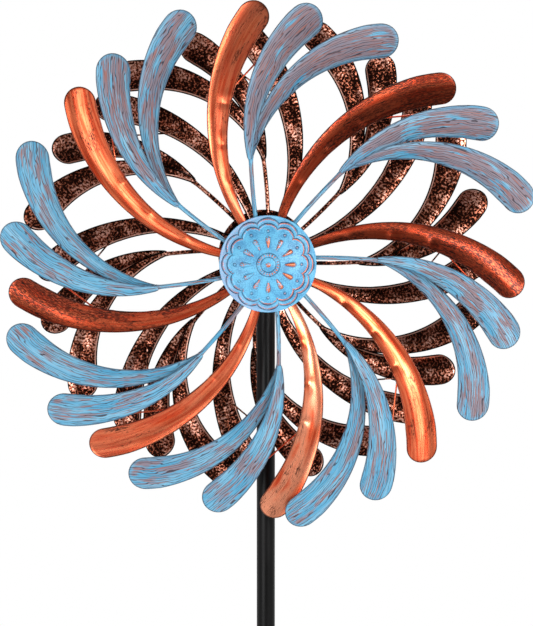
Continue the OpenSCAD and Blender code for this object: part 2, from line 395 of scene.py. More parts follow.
@dataclass(frozen=True)
class PatinaEnamel(Finish):
    """Sky-blue enamel dragged with a stiff brush over a mauve-brown base coat.

    The base coat shows between the bristle marks, most in the middle of a leaf and least at its edges.
    A leaf's wear, from 0 to 1, says how much of it shows.
    """

    name: str = "brushed patina enamel"
    sky: str = "#4e9dc3"
    pale: str = "#7ab4d1"
    mauve: str = "#87767f"
    rust: str = "#a05a42"
    dark: str = "#332c38"
    bristles: Strokes = Strokes(1.7, 34.0, 3.0)
    hairs: Strokes = Strokes(1.0, 34.0, 2.0)
    lane_mm: float = 2.8
    cloud: Strokes = Strokes(12.0, 40.0, 2.0)
    shade: Strokes = Strokes(5.0, 70.0, 2.0)

    def paint(self, tree: Tree, shader: Node) -> Coat:
        """Adds the nodes, as Finish.paint says."""
        where = add(tree, "UVMap", uv_map="strokes").outputs[0]
        edge, wear = attribute(tree, "edge_mm"), attribute(tree, "wear")
        marks, hairs = self.bristles.noise(tree, where), self.hairs.noise(tree, where)
        cloud, shade = self.cloud.noise(tree, where), self.shade.noise(tree, where)
        enamel = tint(tree, ramp(tree, shade, 0.35, 0.7), linear(self.sky), linear(self.pale))
        cover = total(tree, product(tree, marks, 0.6), product(tree, cloud, 0.5), product(tree, wear, 0.2))
        inside = ramp(tree, edge, 0.5, 6.0, 0.25, 1.0)
        bare = product(tree, ramp(tree, cover, 0.61, 0.68), inside)
        under = tint(tree, ramp(tree, hairs, 0.36, 0.5, 1.0, 0.0), linear(self.mauve), linear(self.rust))
        coats = tint(tree, product(tree, bare, 0.9), enamel, under)
        across = add(tree, "SeparateXYZ", {0: where}).outputs["X"]
        lanes = total(tree, product(tree, across, 1 / (self.lane_mm * MM)), product(tree, cloud, 5.0), shade)
        off_line = add(tree, "Math", {0: lanes, 1: 0.5}, operation="PINGPONG").outputs[0]
        line = ramp(tree, off_line, 0.06, 0.16, 1.0, 0.0)
        scored = product(tree, line, ramp(tree, hairs, 0.38, 0.48), ramp(tree, cover, 0.42, 0.6, 0.45, 0.95))
        lined = tint(tree, scored, coats, linear(self.dark))
        outline = ramp(tree, edge, 0.4, 0.8, 0.65, 0.0)
        colour = tint(tree, outline, lined, linear(self.dark))
        rough = ramp(tree, bare, 0.0, 1.0, 0.4, 0.6)
        shader.inputs["IOR"].default_value = 1.5
        bump(tree, shader, marks, 0.12)
        return colour, rough


@dataclass(frozen=True)
class AntiqueCopper(Finish):
    """Near-black antique lacquer sponged with brighter copper, so that flecks glint out of a dark ground.

    The inner edge has a painted highlight, a pale line, inside a black rim.
    """

    name: str = "sponged antique copper"
    ground: str = "#1f0e0a"
    fleck: str = "#a4593f"
    glint: str = "#ffc9b4"
    black: str = "#0a0605"
    fleck_mm: float = 2.8

    def paint(self, tree: Tree, shader: Node) -> Coat:
        """Adds the nodes, as Finish.paint says."""
        where = add(tree, "UVMap", uv_map="strokes").outputs[0]
        edge = attribute(tree, "edge_mm")
        scale = 1 / (self.fleck_mm * MM)
        sponge = add(tree, "TexNoise", {"Vector": where, "Scale": scale, "Detail": 2.5, "Roughness": 0.6})
        cloud = speckle(tree, where, 9 * self.fleck_mm, 2.0)
        value = total(tree, sponge.outputs["Fac"], ramp(tree, cloud, 0.35, 0.65, -0.07, 0.07))
        flecks = ramp(tree, value, 0.48, 0.56)
        sponged = tint(tree, flecks, linear(self.ground), linear(self.fleck))
        bare = product(tree, ramp(tree, value, 0.56, 0.64), ramp(tree, cloud, 0.42, 0.6, 0.2, 0.7))
        bright = tint(tree, bare, sponged, linear(self.glint))
        # Painted highlight: a pale line from 1.2 to 2.8 mm in from the inner edge.
        inner = ramp(tree, add(tree, "SeparateXYZ", {0: where}).outputs["X"], -2 * MM, 0.0, 1.0, 0.0)
        edge_highlight = product(tree, ramp(tree, edge, 1.2, 1.6), ramp(tree, edge, 2.2, 2.8, 1.0, 0.0), inner, 0.85)
        with_edge_highlight = tint(tree, edge_highlight, bright, linear(self.glint))
        outline = ramp(tree, edge, 0.8, 1.3, 1.0, 0.0)
        colour = tint(tree, outline, with_edge_highlight, linear(self.black))
        shader.inputs["Metallic"].default_value = 1.0
        rough = ramp(tree, flecks, 0.0, 1.0, 0.5, 0.3)
        bump(tree, shader, sponge.outputs["Fac"], 0.35)
        return colour, rough


@dataclass(frozen=True)
class CapEnamel(Finish):
    """The leaves' enamel on an embossed cap: worn back to copper on the high work, with more copper towards
    its right side as a painted highlight, a painted highlight in pale lavender along its left rim, and dark
    in the grooves.
    """

    name: str = "rubbed cap enamel"
    sky: str = "#68bce3"
    shade: str = "#4c94c2"
    pale: str = "#b4bede"
    copper: str = "#dc7d5a"
    recess: str = "#1f2a48"

    def paint(self, tree: Tree, shader: Node) -> Coat:
        """Adds the nodes, as Finish.paint says."""
        where = add(tree, "UVMap", uv_map="strokes").outputs[0]
        relief = attribute(tree, "relief_mm")
        groove = attribute(tree, "groove")
        patch, fine = speckle(tree, where, 14.0, 3.0), speckle(tree, where, 1.6, 4.0)
        mottle = ramp(tree, total(tree, fine, patch), 0.85, 1.2)
        mottled = tint(tree, mottle, linear(self.sky), linear(self.shade))
        side = add(tree, "SeparateXYZ", {0: where}).outputs["X"]
        # Painted highlight: pale lavender along the rim on the left side (-x) of the cap.
        rim = product(tree, ramp(tree, attribute(tree, "edge_mm"), 1.0, 13.0, 0.8, 0.0),
                      ramp(tree, side, -0.03, 0.03, 1.0, 0.0), ramp(tree, fine, 0.3, 0.6))
        enamel = tint(tree, rim, mottled, linear(self.pale))
        high = ramp(tree, relief, 0.5, 1.1)
        # Copper worn through on the high relief; a painted highlight adds more of it towards the right side
        # (+x) of the cap.
        rub_and_right_highlight = total(tree, patch, fine, ramp(tree, side, -0.04, 0.04, -0.08, 0.16))
        rub_and_sheen = product(tree, high, ramp(tree, rub_and_right_highlight, 0.88, 1.1))
        tree.links.new(product(tree, rub_and_sheen, 0.85), shader.inputs["Metallic"])
        coats = tint(tree, rub_and_sheen, enamel, linear(self.copper))
        # Darker navy in the grooves, in patches.
        groove_darkening = product(tree, ramp(tree, groove, 0.15, 0.8), ramp(tree, patch, 0.3, 0.6, 0.45, 1.0))
        colour = tint(tree, groove_darkening, coats, linear(self.recess))
        rough = ramp(tree, fine, 0.3, 0.7, 0.34, 0.5)
        shader.inputs["IOR"].default_value = 1.5
        bump(tree, shader, fine, 0.08)
        return colour, rough


@dataclass(frozen=True)
class PowderCoat(Finish):
    """Semi-gloss powder coat baked on steel: even, with the faint orange peel of a sprayed powder."""

    name: str = "black powder coat"
    base: str = "#060606"
    lighter: str = "#0a090a"
    peel_mm: float = 1.4
    roughness: tuple[float, float] = (0.3, 0.38)

    def paint(self, tree: Tree, shader: Node) -> Coat:
        """Adds the nodes, as Finish.paint says."""
        where = add(tree, "TexCoord").outputs["Object"]
        peel, cloud = speckle(tree, where, self.peel_mm, 1.0), speckle(tree, where, 60.0, 2.0)
        colour = tint(tree, ramp(tree, cloud, 0.35, 0.65), linear(self.base), linear(self.lighter))
        rough = ramp(tree, cloud, 0.3, 0.7, *self.roughness)
        shader.inputs["IOR"].default_value = 1.5
        shader.inputs["Specular IOR Level"].default_value = 0.16
        bump(tree, shader, peel, 0.03)
        return colour, rough


@dataclass(frozen=True)
class TurnedSteel(Finish):
    """Turned steel with a thin plating, marked by fine tool rings across the axle."""

    name: str = "zinc-plated steel"
    base: str = "#b9bbbd"
    darker: str = "#8f9193"
    ring_mm: float = 0.35

    def paint(self, tree: Tree, shader: Node) -> Coat:
        """Adds the nodes, as Finish.paint says."""
        where = add(tree, "TexCoord").outputs["Object"]
        across = add(tree, "Mapping", {"Vector": where, "Scale": (20.0, 1 / (self.ring_mm * MM), 20.0)})
        rings = speckle(tree, across.outputs[0], 1 / MM, 2.0)
        colour = tint(tree, ramp(tree, rings, 0.35, 0.65), linear(self.base), linear(self.darker))
        shader.inputs["Metallic"].default_value = 1.0
        rough = ramp(tree, rings, 0.3, 0.7, 0.28, 0.42)
        bump(tree, shader, rings, 0.02)
        return colour, rough


@dataclass(frozen=True)
class CastPaint(Finish):
    """A coat on the hubs: their wheel's own colour, sprayed over a turned body and mottled by handling."""

    name: str
    base: str
    mottle: str
    metallic: float
    roughness: tuple[float, float]
    mottle_mm: float = 5.0

    def paint(self, tree: Tree, shader: Node) -> Coat:
        """Adds the nodes, as Finish.paint says."""
        where = add(tree, "TexCoord").outputs["Object"]
        noise = speckle(tree, where, self.mottle_mm, 5.0)
        spots = ramp(tree, noise, 0.45, 0.65)
        colour = tint(tree, spots, linear(self.base), linear(self.mottle))
        shader.inputs["Metallic"].default_value = self.metallic
        rough = ramp(tree, spots, 0.0, 1.0, *self.roughness)
        bump(tree, shader, noise, 0.1)
        return colour, rough


@dataclass
class Shell:
    """A closed surface with its own pattern coordinates.

    Attributes:
        points: Points in metres, in the frame.
        faces: Arrays of three- or four-sided faces.
        strokes: Position across and along the surface, in metres.
        values: Named point values that the finish reads.
    """

    points: Array
    faces: list[Array]
    strokes: Array
    values: dict[str, Array] = field(default_factory=dict)

    def oriented(self) -> "Shell":
        """Returns the shell with its faces turned outwards, judged by its signed volume."""
        volume = 0.0
        for group in self.faces:
            a = self.points[group[:, 0]]
            for k in range(1, group.shape[1] - 1):
                b, c = self.points[group[:, k]], self.points[group[:, k + 1]]
                volume += float(np.einsum("ij,ij->i", a, np.cross(b, c)).sum())
        if volume < 0:
            self.faces = [group[:, ::-1] for group in self.faces]
        return self

    def piece(self, name: str, material: Material) -> Piece:
        """Makes the Blender object.

        Args:
            name: Name of the piece.
            material: Its finish.

        Returns:
            The object, at the origin.
        """
        mesh = bpy.data.meshes.new(name)
        polygons = [face for group in self.faces for face in group.tolist()]
        mesh.from_pydata(self.points.tolist(), [], polygons)
        corners = np.empty(len(mesh.loops), np.int32)
        mesh.loops.foreach_get("vertex_index", corners)
        layer = mesh.uv_layers.new(name="strokes")
        layer.data.foreach_set("uv", self.strokes[corners].astype(np.float32).ravel())
        for key, value in self.values.items():
            mesh.attributes.new(key, "FLOAT", "POINT").data.foreach_set("value", value.astype(np.float32))
        mesh.polygons.foreach_set("use_smooth", np.ones(len(mesh.polygons), bool))
        mesh.set_sharp_from_angle(angle=math.radians(55))
        mesh.materials.append(material)
        mesh.update()
        piece = bpy.data.objects.new(name, mesh)
        bpy.context.scene.collection.objects.link(piece)
        return piece


def joined(shells: list[Shell]) -> Shell:
    """Joins shells into one; a value that a shell lacks is taken as FAR_FROM_EDGE there.

    Args:
        shells: Shells that stay separate solids.

    Returns:
        One shell that holds them all.
    """
    starts = np.cumsum([0] + [len(s.points) for s in shells[:-1]])
    keys = {key for s in shells for key in s.values}
    faces = [group + start for s, start in zip(shells, starts) for group in s.faces]
    values = {
        key: np.concatenate([s.values.get(key, np.full(len(s.points), FAR_FROM_EDGE)) for s in shells])
        for key in keys
    }
    points = np.concatenate([s.points for s in shells])
    return Shell(points, faces, np.concatenate([s.strokes for s in shells]), values)


def grid_faces(rows: int, cols: int, wrap: bool = False) -> Array:
    """Quads of a grid whose points are numbered row by row.

    Args:
        rows: Number of rows of points.
        cols: Number of points in a row.
        wrap: Whether the last column joins the first.

    Returns:
        Array of quads.
    """
    i, j = np.meshgrid(np.arange(rows - 1), np.arange(cols if wrap else cols - 1), indexing="ij")
    k = (j + 1) % cols
    quads = np.stack([i * cols + j, i * cols + k, (i + 1) * cols + k, (i + 1) * cols + j], axis=-1)
    return quads.reshape(-1, 4)


@dataclass(frozen=True)
class Axes:
    """A wheel's own axes: x to the right, y up and z out of its face."""

    centre: tuple[float, float, float]
    face: tuple[float, float, float]

    @classmethod
    def of_joint(cls, joint: dict[str, Any]) -> "Axes":
        """Takes the axes from the joint that the wheel spins on.

        Args:
            joint: Joint of the frame.

        Returns:
            The wheel's axes.
        """
        return cls(tuple(joint["pos_m"]), tuple(joint["axis"]))

    def placed(self, points: Array) -> Array:
        """Moves points from the wheel's axes, in mm, to the frame, in metres.

        Args:
            points: Points in rows.

        Returns:
            The same points in the frame.
        """
        face = np.array(self.face, float)
        up = np.array([0.0, 0.0, 1.0])
        basis = np.stack([np.cross(up, face), up, face])
        return np.array(self.centre) + points * MM @ basis


def polar(radius: Array | float, degrees: Array | float) -> Array:
    """Point or points in the wheel's plane at a radius and an angle from +x."""
    a = np.radians(degrees)
    return np.stack([radius * np.cos(a), radius * np.sin(a)], axis=-1)


@dataclass(frozen=True)
class Sheet:
    """One cupped sheet: it widens from its root to a round tip along an arc that bows to the left.

    Attributes:
        root: Radius and angle of the root, in mm and degrees.
        tip: Radius and angle of the tip.
        bow: Radius of the arc.
        root_width: Width at the root.
        full_width: Width near the tip.
        belly: How much fuller than straight the sides are.
        lift: Height of the root over the wheel's plane.
        turn: Angle of the sheet's sector.
        seed: Number that sets its dents, waves and brush marks apart from the others'.
        wear: Share of the top coat that is brushed away or burnished, from 0 to 1; on a single front blade
        it also sets painted shade, and it may go down to -1 for painted sheen.
        creases: Distance along the sheet and depth of each pinch in its inner edge.
    """

    root: tuple[float, float]
    tip: tuple[float, float]
    bow: float
    root_width: float
    full_width: float
    belly: float
    lift: float
    turn: float
    seed: int
    wear: float = 0.5
    creases: tuple[tuple[float, float], ...] = ()
    pitch: float = 15.0
    hollow: float = 0.24
    thickness: float = 1.2
    ramp: float = 60.0
    wave: float = 0.35
    rows: int = 84
    cols: int = 18

    @functools.cached_property
    def _arc(self) -> tuple[Array, float, float]:
        """Centre of the arc, angle of its root in radians and its length."""
        a, b = polar(*self.root), polar(*self.tip)
        chord = b - a
        left = np.array([-chord[1], chord[0]]) / np.linalg.norm(chord)
        centre = (a + b) / 2 - left * math.sqrt(self.bow**2 - chord @ chord / 4)
        start, end = (math.atan2(*(p - centre)[::-1]) for p in (a, b))
        return centre, start, self.bow * (start - end)

    @property
    def length(self) -> float:
        """Length along the arc, in mm."""
        return self._arc[2]

    def half_width(self, v: Array) -> Array:
        """Half the width at distance v: a straight taper with a belly, up to the full width near the tip."""
        x = np.minimum(1.0, v / (0.85 * self.length))
        return (self.root_width + (self.full_width - self.root_width) * (x + self.belly * x * (1 - x))) / 2

    def surface(self, v: Array, t: Array) -> Array:
        """Middle surface of the sheet in the wheel's axes.

        The point leaves the arc by t half-widths along the arc's radius, tilted by the lean, and
        drops by the hollow, which is a parabola across the sheet. Creases and hammer waves are added.

        Args:
            v: Distance along the arc, in mm.
            t: Place across, from -1 at the inner edge to 1.

        Returns:
            Points in mm.
        """
        centre, start, _ = self._arc
        grown = np.minimum(1.0, v / self.ramp)
        half = self.half_width(v)
        lean = np.radians(self.pitch) * grown
        radius = self.bow + half * t * np.cos(lean)
        angle = start - v / self.bow
        x, y = centre[0] + radius * np.cos(angle), centre[1] + radius * np.sin(angle)
        z = self.lift - half * t * np.sin(lean) - self.hollow * grown * half * (1 - t * t)
        for place, depth in self.creases:
            pinch = np.exp(-(((v - place) / 4.0) ** 2)) - 0.6 * np.exp(-(((v - place - 9.0) / 6.0) ** 2))
            z = z - depth * pinch * np.exp(-(((t + 0.8) / 0.55) ** 2))
        swell = np.sin(v / 17.0 + 1.7 * self.seed) * np.cos(1.8 * t + self.seed)
        z = z + self.wave * grown * swell
        c, s = math.cos(math.radians(self.turn)), math.sin(math.radians(self.turn))
        return np.stack([c * x - s * y, s * x + c * y, z], axis=-1)

    def stations(self) -> tuple[Array, Array]:
        """Distance and place of each grid point: the columns stop short of the tip to draw its round end."""
        t = np.sin(np.linspace(-math.pi / 2, math.pi / 2, self.cols + 1))
        reach = self.length - self.full_width / 2 * (1 - np.sqrt(np.clip(1 - t * t, 0, 1)))
        return np.linspace(0, 1, self.rows + 1)[:, None] * reach[None, :], np.tile(t, (self.rows + 1, 1))

    def frames(self) -> tuple[Array, Array, Array]:
        """Unit vectors along, across and normal to the sheet at each grid point."""
        v, t = self.stations()
        step = 0.5
        along = self.surface(v + step, t) - self.surface(v - step, t)
        across = self.surface(v, t + 0.01) - self.surface(v, t - 0.01)
        along /= np.linalg.norm(along, axis=-1, keepdims=True)
        across /= np.linalg.norm(across, axis=-1, keepdims=True)
        normal = np.cross(across, along)
        normal /= np.linalg.norm(normal, axis=-1, keepdims=True)
        return along, across, np.where(normal[..., 2:] < 0, -normal, normal)

    def shell(self, axes: Axes) -> Shell:
        """Builds the sheet as a closed shell: two faces joined by a rounded rim.

        Args:
            axes: Axes of the wheel that it is on.

        Returns:
            The shell.
        """
        v, t = self.stations()
        middle = self.surface(v, t)
        along, across, normal = self.frames()
        half = self.thickness / 2
        rows, cols = v.shape
        i = np.concatenate([np.zeros(cols, int), np.arange(1, rows), np.full(cols - 1, rows - 1),
                            np.arange(rows - 2, 0, -1)])
        j = np.concatenate([np.arange(cols), np.full(rows - 1, cols - 1), np.arange(cols - 2, -1, -1),
                            np.zeros(rows - 2, int)])
        at_tip = (i == rows - 1)[:, None]
        at_root = (i == 0)[:, None]
        tb = t[i, j][:, None]
        side = np.sign(tb) * across[i, j]
        tip_way = tb * across[i, j] + np.sqrt(np.clip(1 - tb * tb, 0, 1)) * along[i, j]
        out = np.where(at_tip, tip_way, np.where(at_root, -along[i, j], side))
        layers = [(middle + normal * half).reshape(-1, 3), (middle - normal * half).reshape(-1, 3)]
        for turn in np.radians([45.0, 90.0, 135.0]):
            layers.append(middle[i, j] + half * (normal[i, j] * math.cos(turn) + out * math.sin(turn)))
        size, ring = rows * cols, len(i)
        top = grid_faces(rows, cols)
        border = i * cols + j
        loops = [border] + [2 * size + k * ring + np.arange(ring) for k in range(3)] + [border + size]
        strips = [np.stack([a, b, np.roll(b, -1), np.roll(a, -1)], axis=1) for a, b in zip(loops, loops[1:])]
        reach = v[-1]
        inset = np.minimum(self.half_width(v) * (1 - np.abs(t)), reach[None, :] - v)
        pattern = np.stack([self.half_width(v) * t * MM, (v + PATTERN_SHIFT * self.seed) * MM], axis=-1)

        def spread(values: Array) -> Array:
            """Repeats grid values on both faces and three times round the rim."""
            return np.concatenate([values.reshape(size, -1)] * 2 + [values[i, j].reshape(ring, -1)] * 3)

        data = {"edge_mm": spread(inset)[:, 0], "along": spread(v / self.length)[:, 0],
                "wear": spread(np.full(v.shape, self.wear))[:, 0]}
        faces = [top, top[:, ::-1] + size, *strips]
        return Shell(axes.placed(np.concatenate(layers)), faces, spread(pattern), data).oriented()


def tube(path: Array, radii: Array, seed: int, axes: Axes, sides: int = 12) -> Shell:
    """Carries a circle along a path, closed by a point at each end.

    Each ring stands across the path: its first direction is square to the path and to the wheel's
    axis, its second to both.

    Args:
        path: Points in the wheel's axes, in mm.
        radii: Radius at each point.
        seed: Number that sets its pattern apart.
        axes: Axes of the wheel.
        sides: Points in a ring.

    Returns:
        A closed shell.
    """
    tangent = np.gradient(path, axis=0)
    tangent /= np.linalg.norm(tangent, axis=1, keepdims=True)
    first = np.cross(np.array([0.0, 0.0, 1.0]), tangent)
    first /= np.linalg.norm(first, axis=1, keepdims=True)
    second = np.cross(tangent, first)
    turn = np.linspace(0, 2 * math.pi, sides, endpoint=False)
    ring = first[:, None] * np.cos(turn)[:, None] + second[:, None] * np.sin(turn)[:, None]
    body = path[:, None] + ring * radii[:, None, None]
    run = np.concatenate([[0.0], np.cumsum(np.linalg.norm(np.diff(path, axis=0), axis=1))])
    count = len(path) * sides
    points = np.concatenate([body.reshape(-1, 3), path[:1], path[-1:]])
    around = np.arange(sides)
    last = (len(path) - 1) * sides
    start_cap = np.stack([around, (around + 1) % sides, np.full(sides, count)], axis=1)
    end_cap = np.stack([last + (around + 1) % sides, last + around, np.full(sides, count + 1)], axis=1)
    u = np.tile(np.abs(turn - math.pi), len(path)) * np.repeat(radii, sides)
    v = np.repeat(run, sides) + PATTERN_SHIFT * seed
    strokes = np.stack([np.append(u, [0, 0]), np.append(v, [v[0], v[-1]])], axis=1) * MM
    values = {"edge_mm": np.full(count + 2, FAR_FROM_EDGE), "along": np.zeros(count + 2),
              "wear": np.full(count + 2, ROD_WEAR)}
    faces = [grid_faces(len(path), sides, wrap=True)[:, ::-1], start_cap, end_cap]
    return Shell(axes.placed(points), faces, strokes, values).oriented()


@dataclass(frozen=True)
class Cap:
    """The pressed domed cap in the middle of a wheel, with its flower worked in relief.

    Sizes are in mm; the flower has twelve drops, twelve dots and two scalloped lines around a beaded ring.
    """

    radius: float = 56.0
    rise: float = 14.0
    base: float = 7.0
    wall: float = 1.5
    lobes: int = 12
    first_lobe: float = 90.0
    rings: int = 150
    sectors: int = 360

    def dome(self, r: Array) -> Array:
        """Height of the plain dome: a shallow cap of a sphere."""
        ball = (self.radius**2 + self.rise**2) / (2 * self.rise)
        return np.sqrt(ball**2 - r**2) - ball + self.rise + self.base

    def relief(self, r: Array, degrees: Array) -> tuple[Array, Array]:
        """Height of the pressed flower over the dome, and how deep in a groove each point is.

        Bosses are smooth bumps; a scalloped line follows a circle that bulges by the root of a
        cosine with one lobe for each petal, and each line has a groove along its outer side.

        Args:
            r: Distance from the middle, in mm.
            degrees: Angle.

        Returns:
            Relief in mm and groove from 0 to 1.
        """
        step = 360.0 / self.lobes
        off = (degrees - self.first_lobe + step / 2) % step - step / 2
        side = r * np.sin(np.radians(off))
        swell = np.abs(np.cos(np.radians(off) * self.lobes / 2)) ** 0.62
        beads = 0.55 + 0.45 * np.cos(np.radians(degrees) * 22)
        height = 1.1 * (1 - smooth(r, 1.6, 3.8))
        height += 0.9 * beads * np.exp(-(((r - 11.2) / 1.5) ** 2))
        along = np.clip((r - 17.0) / 16.0, 0.0, 1.0)
        drop_half = 0.3 + 4.4 * along * np.sqrt(1 - along**4)
        drop = np.clip(1 - (side / drop_half) ** 2, 0, 1)
        height += 2.0 * drop * smooth(r, 17.0, 21.0) * (1 - smooth(r, 30.5, 33.0)) * (0.4 + 0.6 * along)
        dot = np.exp(-(((r - 38.5) ** 2 + side**2) / 1.1))
        height += 0.7 * dot
        groove = np.exp(-(((r - 13.4) / 0.8) ** 2)) * 0.7 + np.exp(-(((r - 8.6) / 0.8) ** 2)) * 0.7
        groove += 0.8 * np.exp(-(((np.hypot(r - 38.5, side) - 1.7) / 0.5) ** 2))
        rim_of_drop = np.exp(-(((np.abs(side) - drop_half) / 0.5) ** 2)) * smooth(r, 17.0, 20.0)
        groove += 0.6 * rim_of_drop * (1 - smooth(r, 31.5, 33.0))
        for inner, outer in ((40.2, 45.6), (46.2, 51.6)):
            line = inner + (outer - inner) * swell
            height += 1.15 * np.exp(-(((r - line) / 0.95) ** 2))
            groove += np.exp(-(((r - line - 1.6) / 0.65) ** 2))
        height += 0.35 * (1 - smooth(r, 40.0, 46.0))
        return height - 0.5 * np.clip(groove, 0, 1), np.clip(groove, 0, 1)

    def shell(self, axes: Axes, plain: bool) -> Shell:
        """Builds the cap as a closed shell: relief outside, plain dome inside, rounded rim between.

        Args:
            axes: Axes of the wheel.
            plain: Whether the flower is left off.

        Returns:
            The shell.
        """
        turn = np.linspace(0, 360, self.sectors, endpoint=False)
        r_out = np.linspace(0.35, self.radius - self.wall / 2, self.rings)
        r_in = r_out[::-1][::3]
        rim_turn = np.radians(np.linspace(60, -60, 5))
        rim_r = self.radius - self.wall / 2 + self.wall / 2 * np.cos(rim_turn)
        rim_z = self.base + self.wall / 2 * np.sin(rim_turn) + self.wall / 2
        rr, dd = np.meshgrid(r_out, turn, indexing="ij")
        bumps, groove = self.relief(rr, dd)
        if plain:
            bumps, groove = bumps * 0.0, groove * 0.0
        z_out = np.maximum(self.dome(rr) + bumps, self.base + self.wall)
        z_in = np.clip(self.dome(r_in) - self.wall, self.base, None)[:, None] + 0 * turn
        r_all = np.concatenate([rr, rim_r[:, None] + 0 * turn, r_in[:, None] + 0 * turn])
        z_all = np.concatenate([z_out, rim_z[:, None] + 0 * turn, z_in])
        a = np.radians(turn)[None, :]
        body = np.stack([r_all * np.cos(a), r_all * np.sin(a), z_all], axis=-1).reshape(-1, 3)
        rows, cols, count = len(r_all), self.sectors, r_all.size
        points = np.concatenate([body, [[0, 0, z_out[0, 0]], [0, 0, z_in[-1, 0]]]])
        around = np.arange(cols)
        top = np.stack([(around + 1) % cols, around, np.full(cols, count)], axis=1)
        low = (rows - 1) * cols
        bottom = np.stack([low + around, low + (around + 1) % cols, np.full(cols, count + 1)], axis=1)

        def whole(values: Array, rest: float) -> Array:
            """Fills the rim, the inside and the two poles with one value."""
            return np.concatenate([values.ravel(), np.full(count + 2 - values.size, rest)])

        data = {"relief_mm": whole(bumps, 0.0), "groove": whole(groove, 0.0),
                "edge_mm": whole(self.radius - rr, FAR_FROM_EDGE), "along": whole(rr * 0, 0.0)}
        faces = [grid_faces(rows, cols, wrap=True), top, bottom]
        return Shell(axes.placed(points), faces, points[:, :2] * MM, data).oriented()


class Family(Enum):
    """The two wheels' coats and node names."""

    FRONT = "front"
    REAR = "rear"


